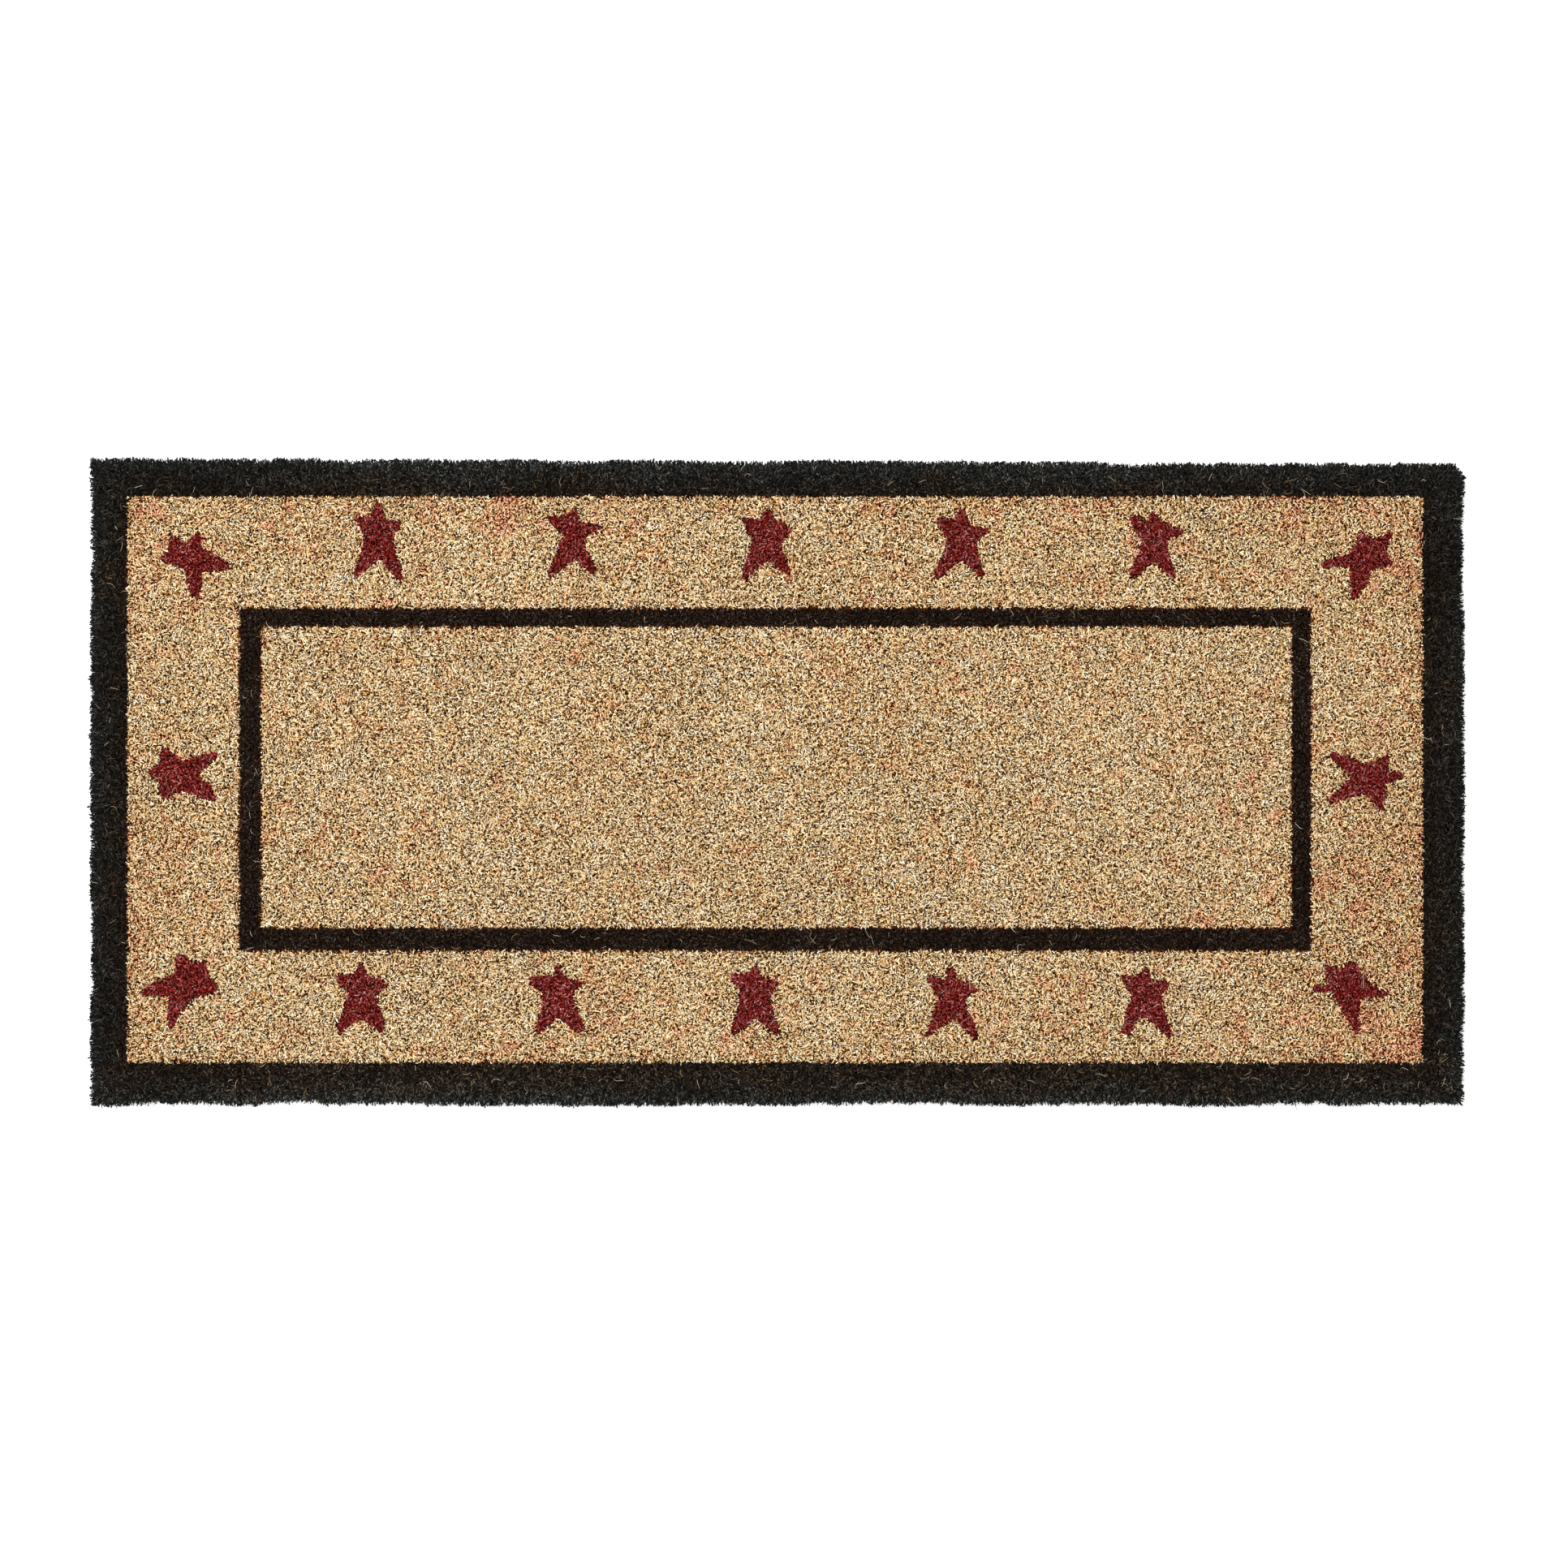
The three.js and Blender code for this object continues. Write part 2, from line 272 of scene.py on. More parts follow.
# ---------------------------------------------------------------------------------------------
# The pile. Stiff coconut fibres stand upright in the vinyl, close together, and are sheared
# level. Each leans its own way, neighbours leaning much alike. The tread is set first and dyed
# afterwards, so all its fibres are drawn up here, and the parts below pick theirs by outline.
# ---------------------------------------------------------------------------------------------
chance = np.random.default_rng(24)
mat_low, mat_high = (np.array(corner) for corner in cad_box)
shear_spread = 0.0006  # how far tips end below the shears' level
shear_wave, shear_cell = 0.0002, 0.012  # the shears' own unevenness, and over what distance
rooted_at = 0.0095  # height at which a fibre parts from the matted roots
root_spread = 0.001
sway_cell = 0.005  # distance over which neighbours lean alike
met_share = 0.25  # how far out along its lean the dye meets a fibre
dye_creep, creep_cell = 0.0003, 0.0035
dye_scatter = 0.00015
patch_cells = (0.009, 0.05)  # sizes of the patches that differ in brightness
tint_cells = (0.005, 0.012, 0.035, 0.09)  # and of those that differ in dye


def drift(x, y, cell):
    """A slow random change over the mat, from -1 to 1: random numbers on a square lattice with
    the given cell, blended by an ease curve between the four lattice points round each place."""
    across, up = (x - mat_low[0]) / cell + 3, (y - mat_low[1]) / cell + 3
    column, row = across.astype(int), up.astype(int)
    ease_x, ease_y = across - column, up - row
    ease_x = ease_x * ease_x * (3 - 2 * ease_x)
    ease_y = ease_y * ease_y * (3 - 2 * ease_y)
    lattice = chance.uniform(-1, 1, (int(1 / cell) + 9, int(0.5 / cell) + 9))
    low = lattice[column, row] * (1 - ease_x) + lattice[column + 1, row] * ease_x
    high = lattice[column, row + 1] * (1 - ease_x) + lattice[column + 1, row + 1] * ease_x
    return low * (1 - ease_y) + high * ease_y


def back_edge(x):
    """The mat's back edge, a straight line that falls evenly from its left end to its right."""
    return mat_high[1] - back_fall * (x - mat_low[0]) / (mat_high[0] - mat_low[0])


def edge_distances(x, y):
    """How far a place is from the mat's left, right, front and back edge."""
    return np.stack([x - mat_low[0], mat_high[0] - x, y - mat_low[1], back_edge(x) - y])


def dealt(rows, columns):
    """Random numbers from 0 to 1 on a grid, dealt out evenly: of the four in each square of two
    by two, one comes from each quarter of the range."""
    blocks = (rows + 1) // 2, (columns + 1) // 2
    quarter = chance.uniform(0, 1, (*blocks, 4)).argsort(2).argsort(2)
    quarter = quarter.reshape(*blocks, 2, 2).transpose(0, 2, 1, 3).reshape(2 * blocks[0], -1)
    return (quarter[:rows, :columns] + chance.uniform(0, 1, (rows, columns))) / 4


def fibres(low, high, pitch, lean, shared_lean, breadth, kept=None):
    """Fibres over a rectangle, one in each square of a grid of the given pitch, at a random place
    in it. A fibre's upper part leans by a random amount and by one that drifts slowly over the
    mat; its tip ends at random a little under the shears' level. The dye meets it at x, y, near
    its tip, shifted a little by how the dye creeps at a stencil's edge."""
    columns, rows = np.arange(low[0], high[0], pitch), np.arange(low[1], high[1], pitch)
    grid_x, grid_y = np.meshgrid(columns, rows)
    place = np.stack([grid_x.ravel(), grid_y.ravel()], 1) + chance.uniform(0, pitch, (grid_x.size, 2))
    tone = dealt(*grid_x.shape).ravel()
    x, y = place.T
    sway = chance.normal(0, lean, place.shape)
    sway += shared_lean * np.stack([drift(x, y, sway_cell), drift(x, y, sway_cell)], 1)
    creep = dye_creep * np.stack([drift(x, y, creep_cell), drift(x, y, creep_cell)], 1)
    met = place + met_share * sway + creep + chance.normal(0, dye_scatter, place.shape)
    if kept is not None:
        here = kept(*met.T)
        place, sway, met, tone = place[here], sway[here], met[here], tone[here]
    x, y = place.T
    count = len(x)
    tips = tread_height - np.abs(chance.normal(0, shear_spread, count))
    tips += shear_wave * drift(x, y, shear_cell)
    feet = rooted_at + chance.uniform(-root_spread, root_spread, count)
    return SimpleNamespace(
        x=met[:, 0],
        y=met[:, 1],
        root=np.column_stack([place - sway / 2, feet]),
        tip=np.column_stack([place + sway / 2, tips]),
        turn=chance.uniform(0, 2 * np.pi, count),
        breadth=chance.uniform(*breadth, count),
        chance=chance.uniform(0, 1, count),
        tone=tone,
        patch=[drift(x, y, cell) for cell in patch_cells],
        tint=[drift(x, y, cell) for cell in tint_cells],
    )


band_low, band_high = (
    (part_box("band_pile_left")[0].x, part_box("band_pile_front")[0].y),
    (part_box("band_pile_right")[1].x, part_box("band_pile_back")[1].y),
)
spare = 0.0025  # fibres rooted this far outside the band can still lean into it
tread = fibres(
    np.array(band_low) - spare, np.array(band_high) + spare, pitch=0.00098, lean=0.0023,
    shared_lean=0.0022, breadth=(0.0005, 0.0010),
)


def unit(vectors):
    """Each vector divided by its own length."""
    return vectors / np.linalg.norm(vectors, axis=1, keepdims=True)


def slivers(root, tip, turn, breadth):
    """Closed four-faced slivers, one for each fibre: a short edge across the fibre at its root,
    and another at its tip, turned a quarter round the fibre from the first. Each of the four
    triangles joins one of these edges to an end of the other."""
    along = tip - root
    level = np.stack([np.cos(turn), np.sin(turn), 0 * turn], 1)
    side = unit(np.cross(along, level))
    flat = unit(np.cross(side, along))
    half = breadth[:, None] / 2
    corners = np.stack([root - side * half, root + side * half, tip - flat * half, tip + flat * half], 1)
    order = np.array([[0, 2, 1], [0, 1, 3], [0, 3, 2], [1, 2, 3]])
    faces = np.arange(len(root))[:, None, None] * 4 + order
    return corners.reshape(-1, 3), faces.reshape(-1, 3)


map_margin, map_span = 0.003, 0.994  # the map's width that the tones take up
map_strip = 0.0016  # half a fibre's breadth on the map
root_up, tip_up = 0.08, 0.92  # where a fibre begins and ends in its dye's band


def dye_map(tone, dye, dyes):
    """The map place of each sliver's four points: across by how bright the fibre is, with a
    narrow strip for its breadth, and up by its dye's band, from root to tip within the band."""
    across = map_margin + map_span * tone[:, None] + map_strip * np.array([-1, 1, -1, 1])
    up = (dye[:, None] + np.array([root_up, root_up, tip_up, tip_up])) / dyes
    return np.stack([across, up], 2).reshape(-1, 2)


flat_within = 0.0001  # a block's point this near the tread's height is on its top face


def inside(node_name, x, y):
    """Whether each place is inside a block's top face: to the left of all three sides of any
    one of the face's triangles."""
    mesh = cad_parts[node_name].data
    mesh.calc_loop_triangles()
    points = np.empty(len(mesh.vertices) * 3, np.float32)
    mesh.vertices.foreach_get("co", points)
    corners = np.empty(len(mesh.loop_triangles) * 3, np.int32)
    mesh.loop_triangles.foreach_get("vertices", corners)
    triangles = points.reshape(-1, 3)[corners.reshape(-1, 3)].astype(float)
    top = triangles[(triangles[:, :, 2] > tread_height - flat_within).all(1)][:, :, :2]
    low, high = top.min((0, 1)), top.max((0, 1))
    found = np.zeros(len(x), bool)
    near = np.flatnonzero((x > low[0]) & (x < high[0]) & (y > low[1]) & (y < high[1]))
    hit = np.zeros(len(near), bool)
    for a, b, c in top:
        within = np.ones(len(near), bool)
        for start, end in ((a, b), (b, c), (c, a)):
            turn = (end[0] - start[0]) * (y[near] - start[1]) - (end[1] - start[1]) * (x[near] - start[0])
            within &= turn >= 0
        hit |= within
    found[near[hit]] = True
    return found


def fibre_finish(name, tones, dyes, gloss):
    """Dyed coir. The fibre's own map gives its colour: a ramp of tones across, one band up the
    map for each dye, painted shade that darkens it towards the root, where the pile round it
    would shade it, and blotches along the fibre. Dull and bright stretches and fine ridges run
    along it too."""
    made, tree = new_material(name)
    mapped = node(tree, "UVMap", uv_map="OFBake").outputs["UV"]
    axes = node(tree, "SeparateXYZ", {"Vector": mapped}).outputs
    bands = node(tree, "Math", {0: axes["Y"], 1: float(len(dyes))}, operation="MULTIPLY")
    along = node(tree, "Math", {0: bands.outputs[0]}, operation="FRACT").outputs[0]
    stretched = node(tree, "Mapping", {"Vector": mapped, "Scale": (140, 5 * len(dyes), 1)})
    noise = node(tree, "TexNoise", {"Vector": stretched.outputs[0], "Scale": 1, "Detail": 3})
    blotch = noise.outputs["Fac"]
    dye_stops = {i / len(dyes): colour for i, colour in enumerate(dyes)}
    colour = times(
        tree,
        ramp(tree, axes["X"], tones),
        ramp(tree, axes["Y"], dye_stops, "CONSTANT"),
        # painted shade: darker and redder brown towards the root, for the shade deep in the pile
        ramp(tree, along, {0.05: (0.05, 0.022, 0.008), 0.33: (0.38, 0.235, 0.125), 0.6: 1.0}),
        ramp(tree, blotch, {0.3: 0.8, 0.7: 1.15}),
    )
    relief = node(tree, "Bump", {"Height": blotch, "Strength": 0.4, "Distance": 0.0002})
    surface(tree, node(tree, "BsdfPrincipled", {
        "Base Color": colour,
        "Roughness": ramp(tree, blotch, {0.3: 0.5, 0.7: 0.72}),
        "Normal": relief.outputs["Normal"],
        "Specular IOR Level": gloss,
    }))
    return made


def set_pile(name, pile, picked, tone, dye, dyes, finish, node_name):
    """One block of the pile: the slivers of the picked fibres, mapped by tone and dye."""
    points, faces = slivers(
        pile.root[picked], pile.tip[picked], pile.turn[picked], pile.breadth[picked]
    )
    placed = dye_map(np.clip(tone[picked], 0, 1), dye[picked], dyes)
    piece = lay_mesh(name, points, faces, finish, True, placed[faces.ravel()])
    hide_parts(node_name)


# ---------------------------------------------------------------------------------------------
# The roots. Below the tread the fibres are packed close and make one mat. It is a closed slab
# with a rough top, a little narrower than the tread. Its near-black colour is painted shade, for
# the shade deep in the pile between the fibres.
# ---------------------------------------------------------------------------------------------
roots_height = 0.0103
roots_rough = 0.0007
roots_inset = 0.0042
roots_sink = 0.0002  # how deep the slab sits in the vinyl
roots_columns, roots_rows = 130, 62
roots_x, roots_y = rounded_grid(
    mat_low + roots_inset, mat_high - roots_inset, roots_columns, roots_rows, sheet_corner, back_fall
)
roots_top = roots_height + chance.uniform(-roots_rough, roots_rough, roots_x.shape)
roots_points, roots_faces = slab(
    roots_x, roots_y, np.full(roots_x.shape, sheet_high[2] - roots_sink), roots_top
)
roots_shade_finish, tree = new_material("matted_roots_painted_shade")
place = node(tree, "TexCoord").outputs["Object"]
upright = node(tree, "Mapping", {"Vector": place, "Scale": (1, 1, 0.05)}).outputs[0]
ends = node(tree, "TexNoise", {"Vector": upright, "Scale": 900, "Detail": 4}).outputs["Fac"]
# A slow random mottle in the slab's painted shade.
shade_mottle = node(tree, "TexNoise", {"Vector": upright, "Scale": 60, "Detail": 3}).outputs["Fac"]
relief = node(tree, "Bump", {"Height": ends, "Strength": 0.8, "Distance": 0.0006})
# The slab's near-black colours are painted shade: they stand for the shade deep in the pile between the
# fibres.
roots_shade_tones = {
    0.35: (0.004, 0.002, 0.001),
    0.5: (0.02, 0.01, 0.004),
    0.68: (0.07, 0.035, 0.014),
}
surface(tree, node(tree, "BsdfPrincipled", {
    "Base Color": times(
        tree,
        ramp(tree, ends, roots_shade_tones),
        ramp(tree, shade_mottle, {0.3: 0.7, 0.7: 1.2}),
    ),
    "Roughness": ramp(tree, ends, {0.3: 0.95, 0.7: 0.75}),
    "Normal": relief.outputs["Normal"],
    "Specular IOR Level": 0.03,
}))
roots = lay_mesh("pile_roots", roots_points, roots_faces, roots_shade_finish, False)

# ---------------------------------------------------------------------------------------------
# The border. The same coir pile dyed black, greyer towards the mat's edge and browner on the
# inner side, where the dye ran thin. Its outer fibres fan out over the cut edge of the vinyl.
# ---------------------------------------------------------------------------------------------
black_tones = {
    0.0: (0.0022, 0.0018, 0.0014),
    0.5: (0.008, 0.0073, 0.0062),
    0.78: (0.022, 0.0205, 0.018),
    0.92: (0.056, 0.054, 0.050),
    1.0: (0.135, 0.131, 0.122),
}
black_dyes = [(0.95, 1.02, 0.99), (1.15, 0.80, 0.56), (2.4, 1.3, 0.5)]
black_fibre = fibre_finish("black_fibre", black_tones, black_dyes, 0.06)
border_width = 0.0254
border_spare = 0.002  # fibres rooted this far outside the mat are drawn, and most are cut off
overhang = 0.0007  # how far the usual outermost tip reaches past the mat's edge
overhang_tail = 0.0006  # and how much further single ones do
edge_wave = 0.0021
corner_cut = 0.0075  # the back right corner is cut off a little
rim_width = 0.0045  # the outermost fibres stand closer together
inner_density = 0.62
splay_width = 0.016  # the fibres fan outwards over this width
splay_reach = 0.0045
splay_sideways = 0.0016
sheet_inset = 0.0033  # the outermost root is this far in from the mat's edge
inset_spread = 0.0015
shoulder_width = 0.004  # over this width the roots come down to the vinyl
droop_width = 0.005  # over this width the tips hang down
droop_least, droop_most = 0.0002, 0.0035


def in_border(x, y):
    """Whether each place is outside the band's rectangle, inside the mat's wavy edge and not off
    its cut corner. Away from the rim a share of the places is left out."""
    outside = (x < band_low[0]) | (x > band_high[0]) | (y < band_low[1]) | (y > band_high[1])
    distances = edge_distances(x, y)
    gap = np.minimum(distances.min(0), distances[1] + distances[3] - corner_cut)
    wave = 0.45 * drift(x, y, 0.05) + 0.45 * drift(x, y, 0.016) + 0.35 * drift(x, y, 0.006)
    thick = (gap < rim_width) | (chance.uniform(0, 1, len(x)) < inner_density)
    return outside & thick & (gap > edge_wave * wave - overhang)


border = fibres(
    mat_low[:2] - border_spare, mat_high[:2] + border_spare, pitch=0.00066, lean=0.0025,
    shared_lean=0.0018, breadth=(0.00055, 0.0011), kept=in_border,
)
gaps = edge_distances(border.tip[:, 0], border.tip[:, 1])
outwards = np.array([[-1, 0], [1, 0], [0, -1], [0, 1]])
for gap, outward in zip(gaps, outwards):
    near = np.clip(1 - gap / splay_width, 0, 1.1)
    sideways = splay_sideways * near * chance.normal(0, 1, len(gap))
    border.root[:, :2] -= outward * (splay_reach * near**2)[:, None]
    border.root[:, :2] += outward[::-1] * sideways[:, None]
for gap, outward in zip(edge_distances(border.root[:, 0], border.root[:, 1]), outwards):
    pulled = np.clip(sheet_inset + chance.uniform(0, inset_spread, len(gap)) - gap, 0, None)
    border.root[:, :2] -= outward * pulled[:, None]
for gap, outward in zip(edge_distances(border.tip[:, 0], border.tip[:, 1]), outwards):
    pulled = np.clip(-overhang - chance.exponential(overhang_tail, len(gap)) - gap, 0, None)
    border.tip[:, :2] -= outward * pulled[:, None]
root_gap = edge_distances(border.root[:, 0], border.root[:, 1]).min(0)
tip_gap = edge_distances(border.tip[:, 0], border.tip[:, 1]).min(0)
shoulder = np.clip((root_gap - sheet_inset) / shoulder_width, 0, 1)
border.root[:, 2] = sheet_high[2] + (border.root[:, 2] - sheet_high[2]) * shoulder
droop = np.clip(1 - tip_gap / droop_width, 0, 1.2) ** 2
border.tip[:, 2] -= droop * chance.uniform(droop_least, droop_most, len(droop))

inner_share = np.clip(tip_gap / border_width, 0, 1)
near_ends = (border.x / mat_high[0]) ** 4
near_back = np.clip(border.y / mat_high[1], 0, 1) ** 4
near_front = np.clip(-border.y / mat_high[1], 0, 1) ** 4
black_tone = border.tone + 0.05 * border.patch[0] + 0.05 * border.patch[1] - 0.02
black_tone += 0.05 * (1 - inner_share) - 0.07 * near_ends - 0.03 * near_back * inner_share
black_tone += 0.04 * near_front
brown_share = 1.5 * inner_share - 0.1 + 0.2 * border.tint[1] + 0.2 * border.tint[2]
brown_share -= 0.45 * near_back
rust_share = 0.4 * np.clip(border.tint[2] + border.tint[1] - 0.75, 0, 1) * inner_share
black_dye = np.where(border.chance < brown_share, 1, 0)
black_dye = np.where(border.chance > 1 - rust_share, 2, black_dye)
end_low, end_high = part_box("border_pile_left")
beyond_side = [border.y > end_high.y, border.y < end_low.y, border.x < 0]
side_of = np.select(beyond_side, [0, 1, 2], 3)
for number, side in enumerate(("back", "front", "left", "right")):
    block = f"border_pile_{side}"
    set_pile(
        block + "_tufts", border, np.flatnonzero(side_of == number), black_tone, black_dye,
        len(black_dyes), black_fibre, block,
    )

# ---------------------------------------------------------------------------------------------
# The band and the field. Undyed coir pile in its own straw and tan, with duller and redder
# fibres among them, and redder ones towards the right end of the mat.
# ---------------------------------------------------------------------------------------------
natural_tones = {
    0.0: (0.05, 0.006, 0.001),
    0.1: (0.16, 0.042, 0.006),
    0.24: (0.46, 0.255, 0.075),
    0.42: (0.74, 0.51, 0.245),
    0.65: (0.88, 0.71, 0.44),
    0.86: (0.97, 0.87, 0.66),
    1.0: (0.99, 0.96, 0.80),
}
natural_dyes = [  # pale, straw, yellow, pink and red fibre, and the grey of old loose ones
    (0.96, 0.99, 1.02),
    (1.0, 0.97, 0.94),
    (1.0, 0.96, 0.80),
    (1.04, 0.78, 0.72),
    (0.98, 0.60, 0.58),
    (0.62, 0.7, 0.85),
]
natural_fibre = fibre_finish("natural_fibre", natural_tones, natural_dyes, 0.05)
right, back = np.clip(tread.x / mat_high[0], 0, 1), np.clip(tread.y / mat_high[1], 0, 1)
left, front = np.clip(tread.x / mat_low[0], 0, 1), np.clip(tread.y / mat_low[1], 0, 1)
warmth = 0.85 * (tread.chance - 0.5) + 0.48 * tread.tint[0] + 0.32 * tread.tint[1]
warmth += 0.14 * tread.tint[2] + 0.08 * tread.tint[3] - 0.06
warmth += 0.14 * right + 0.55 * right**8 + 0.1 * left + 0.2 * left**8
warmth += 0.28 * back**2.5 + 0.14 * front**2.5
natural_dye = np.digitize(warmth, (-0.32, 0.08, 0.46, 0.82))


def off_outline(low, high):
    """How far each of the tread's fibres is from a rectangle's outline, on either side of it: the
    largest of how far it lies beyond each of the four sides, without its sign."""
    beyond = [low[0] - tread.x, tread.x - high[0], low[1] - tread.y, tread.y - high[1]]
    return np.abs(np.max(beyond, axis=0))


line_low = (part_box("line_pile_left")[0].x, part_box("line_pile_front")[0].y)
line_high = (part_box("line_pile_right")[1].x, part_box("line_pile_back")[1].y)
bleed_out, bleed_in = 0.0020, 0.0011  # furthest that the line's dye bled, outwards and inwards
bled = off_outline(line_low, line_high) < bleed_out * chance.uniform(0, 1, len(tread.x))
bled |= off_outline(*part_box("field_pile")) < bleed_in * chance.uniform(0, 1, len(tread.x))
stain_width = 0.004
stained = np.exp(-off_outline(band_low, band_high) / stain_width)  # the border's dye crept in too
natural_tone = tread.tone + 0.02 * tread.patch[0] + 0.03 * tread.patch[1]
natural_tone -= 0.05 * right**8 + 0.03 * left**8 + 0.03 * back**6
natural_tone -= 0.4 * stained * np.clip(tread.chance + 0.3 * tread.tint[0] - 0.35, 0, 1)
natural_tone = np.where(bled, 0.05 * tread.tone, natural_tone)


def natural_blocks(block, slices):
    """The block's fibres, cut from left to right into equal runs, each a piece of its own."""
    mine = np.flatnonzero(inside(block, tread.x, tread.y))
    low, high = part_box(block)
    share = (tread.x[mine] - low.x) / (high.x - low.x) * slices
    for i in range(slices):
        run = mine[(share >= i) & (share < i + 1)]
        suffix = f"_{i + 1}" if slices > 1 else ""
        set_pile(
            f"{block}_tufts{suffix}", tread, run, natural_tone, natural_dye, len(natural_dyes),
            natural_fibre, block,
        )


natural_blocks("band_pile_back", 2)
natural_blocks("band_pile_front", 2)
natural_blocks("band_pile_left", 1)
natural_blocks("band_pile_right", 1)
natural_blocks("field_pile", 4)

# ---------------------------------------------------------------------------------------------
# The stars. Sixteen patches of the same coir pile, dyed dark red through hand-cut stencils, so
# each has its own outline. Nothing is sewn or glued on: they stand in the vinyl like the rest.
# ---------------------------------------------------------------------------------------------
red_tones = {
    0.0: (0.07, 0.0008, 0.0008),
    0.25: (0.15, 0.004, 0.0035),
    0.5: (0.21, 0.0165, 0.014),
    0.75: (0.295, 0.057, 0.050),
    0.92: (0.45, 0.15, 0.135),
    1.0: (0.66, 0.34, 0.31),
}
red_dyes = [(1.0, 1.0, 1.0), (0.9, 1.1, 1.4), (1.1, 0.85, 0.75)]
red_fibre = fibre_finish("red_fibre", red_tones, red_dyes, 0.03)
red_tone = tread.tone + 0.06 * tread.patch[0] - 0.03
dyed_as = np.digitize(tread.chance, (0.5, 0.72))  # the stars' and the line's fibres alike
star_blocks = [f"star_{row}_{i}" for row in ("back", "front") for i in range(1, 8)]
for block in [*star_blocks, "star_left", "star_right"]:
    mine = np.flatnonzero(inside(block, tread.x, tread.y))
    set_pile(
        block + "_tufts", tread, mine, red_tone, dyed_as, len(red_dyes),
        red_fibre, block,
    )

# ---------------------------------------------------------------------------------------------
# The line. A narrow frame of the same coir pile, dyed brown-black between the band and the
# field. The dye was pressed on through a stencil and crept a little past its edges.
# ---------------------------------------------------------------------------------------------
line_tones = {
    0.0: (0.0030, 0.0013, 0.0006),
    0.5: (0.0125, 0.0062, 0.0034),
    0.8: (0.031, 0.0175, 0.0112),
    0.93: (0.058, 0.040, 0.029),
    1.0: (0.105, 0.078, 0.060),
}
line_dyes = [(1.0, 1.0, 1.0), (1.1, 0.8, 0.7), (0.9, 1.1, 1.3)]
line_fibre = fibre_finish("line_fibre", line_tones, line_dyes, 0.06)
line_tone = tread.tone + 0.1 * tread.patch[0]
for side in ("back", "front", "left", "right"):
    block = f"line_pile_{side}"
    mine = np.flatnonzero(inside(block, tread.x, tread.y))
    set_pile(
        block + "_tufts", tread, mine, line_tone, dyed_as, len(line_dyes),
        line_fibre, block,
    )

# ---------------------------------------------------------------------------------------------
# Loose fibres. Long curly hairs that have worked up out of the pile and lie on it: dyed ones on
# the border, and pale and dark undyed ones all over.
# ---------------------------------------------------------------------------------------------
chance = np.random.default_rng(31)
thread_points = 6
curl_wander = 0.25  # how much a heading changes at random from point to point
ends_dip = 0.0012  # how far below the tread a loose fibre's ends go
# The start of this stretch still lies in the fibres' painted root shade, so each loose fibre is painted a
# little darker at its start.
hair_low, hair_high = 0.5, 0.9  # the stretch of its dye's band that a loose fibre takes up


def threads(paths, breadth):
    """A three-sided tube along each path: a triangle of points round each point of the path, in
    the plane across the path there, joined to the next, with a closing face at both ends."""
    along = np.gradient(paths, axis=1)
    along /= np.linalg.norm(along, axis=2, keepdims=True)
    side = np.cross(along, [0, 0, 1.0])
    side /= np.linalg.norm(side, axis=2, keepdims=True)
    over = np.cross(along, side)
    turn = 2 * np.pi * np.arange(3)[None, None, :, None] / 3
    ring = np.cos(turn) * side[:, :, None] + np.sin(turn) * over[:, :, None]
    points = paths[:, :, None] + breadth[:, None, None, None] / 2 * ring
    stations = paths.shape[1]
    a = np.arange(3 * (stations - 1))
    b = a // 3 * 3 + (a + 1) % 3
    last = 3 * (stations - 1)
    one = np.concatenate([
        np.stack([a, b, b + 3], 1), np.stack([a, b + 3, a + 3], 1),
        [[2, 1, 0], [last, last + 1, last + 2]],
    ])
    faces = np.arange(len(paths))[:, None, None] * 3 * stations + one
    return points.reshape(-1, 3), faces.reshape(-1, 3)


def curls(x, y, length, bend, lift):
    """Paths that wander over the pile: the heading turns steadily and a little at random from
    point to point, and the height is an arch that dips into the pile at both ends."""
    count = len(x)
    step = np.linspace(0, 1, thread_points)
    turn = chance.uniform(0, 2 * np.pi, (count, 1)) + bend[:, None] * step
    turn += np.cumsum(chance.normal(0, curl_wander, (count, thread_points)), 1)
    stride = (length / (thread_points - 1))[:, None]
    path_x = x[:, None] + np.cumsum(stride * np.cos(turn), 1)
    path_y = y[:, None] + np.cumsum(stride * np.sin(turn), 1)
    arch = np.sin(np.pi * step) ** 0.6
    height = tread_height - ends_dip + (ends_dip + lift[:, None]) * arch
    return np.stack([path_x, path_y, height], 2)


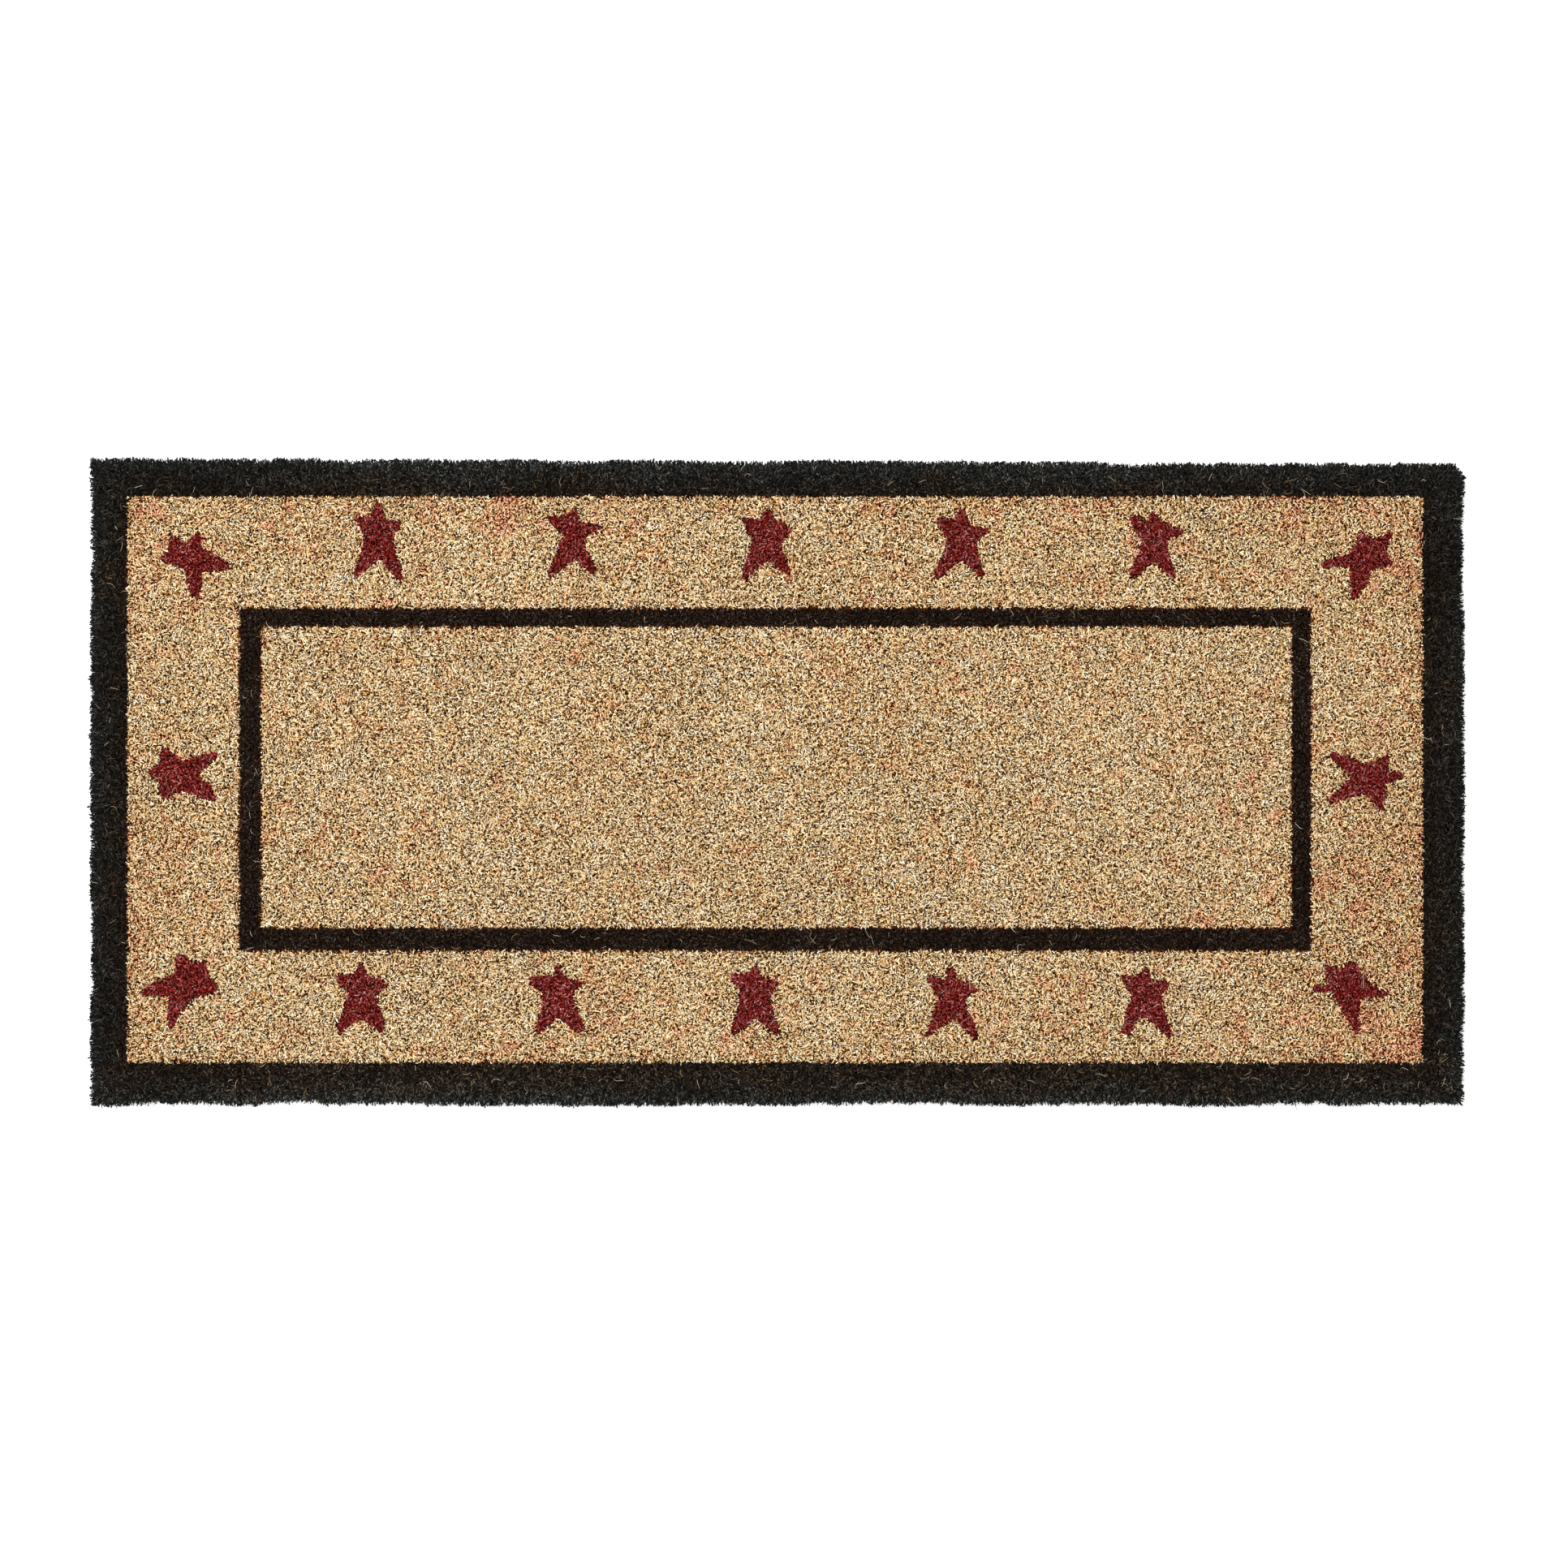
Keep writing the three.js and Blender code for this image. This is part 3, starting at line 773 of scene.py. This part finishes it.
def lay_threads(name, x, y, length, breadth, tone, dye, dyes, finish):
    """One piece of loose fibres, mapped as the pile's fibres are."""
    count = len(x)
    bend = chance.normal(0, 1.2, count)
    paths = curls(x, y, chance.uniform(*length, count), bend, chance.uniform(0.0001, 0.0012, count))
    points, faces = threads(paths, chance.uniform(*breadth, count))
    strip = map_strip * np.array([-1, 1, 0])
    across = (map_margin + map_span * tone)[:, None, None] + strip + np.zeros((1, thread_points, 1))
    up = np.linspace(hair_low, hair_high, thread_points)[None, :, None] + 0.02 * np.arange(3)
    up = (dye[:, None, None] + up) / dyes
    placed = np.stack([across, up], 3).reshape(-1, 2)
    piece = lay_mesh(name, points, faces, finish, True, placed[faces.ravel()])


def strewn(count, margin, back_margin):
    """Even random places over the mat, kept in from its edges, and further in at the back."""
    x = chance.uniform(mat_low[0] + margin, mat_high[0] - margin, count)
    y = chance.uniform(mat_low[1] + margin, mat_high[1] - back_margin, count)
    return x, y


black_hairs = 2600
tries = 9 * black_hairs  # most of these places are off the border, and are left out
off_band = 0.003  # how far outside the band a dyed loose fibre starts
hair_x, hair_y = strewn(tries, 0.004, 0.008)
over_border = (
    (hair_x < band_low[0] - off_band) | (hair_x > band_high[0] + off_band)
    | (hair_y < band_low[1] - off_band) | (hair_y > band_high[1] + off_band)
)
hair_x, hair_y = hair_x[over_border][:black_hairs], hair_y[over_border][:black_hairs]
lay_threads(
    "border_loose_fibres", hair_x, hair_y, length=(0.003, 0.007), breadth=(0.00022, 0.00036),
    tone=chance.uniform(0.75, 0.97, len(hair_x)), dye=chance.integers(0, 2, len(hair_x)),
    dyes=len(black_dyes), finish=black_fibre,
)
pale_hairs = 1200
old_grey = len(natural_dyes) - 1  # the last of the natural dyes, which only loose fibres have
hair_x, hair_y = strewn(pale_hairs, 0.006, 0.010)
lay_threads(
    "undyed_loose_fibres", hair_x, hair_y, length=(0.003, 0.009), breadth=(0.00014, 0.00026),
    tone=chance.uniform(0.2, 0.75, pale_hairs), dye=np.full(pale_hairs, old_grey),
    dyes=len(natural_dyes), finish=natural_fibre,
)
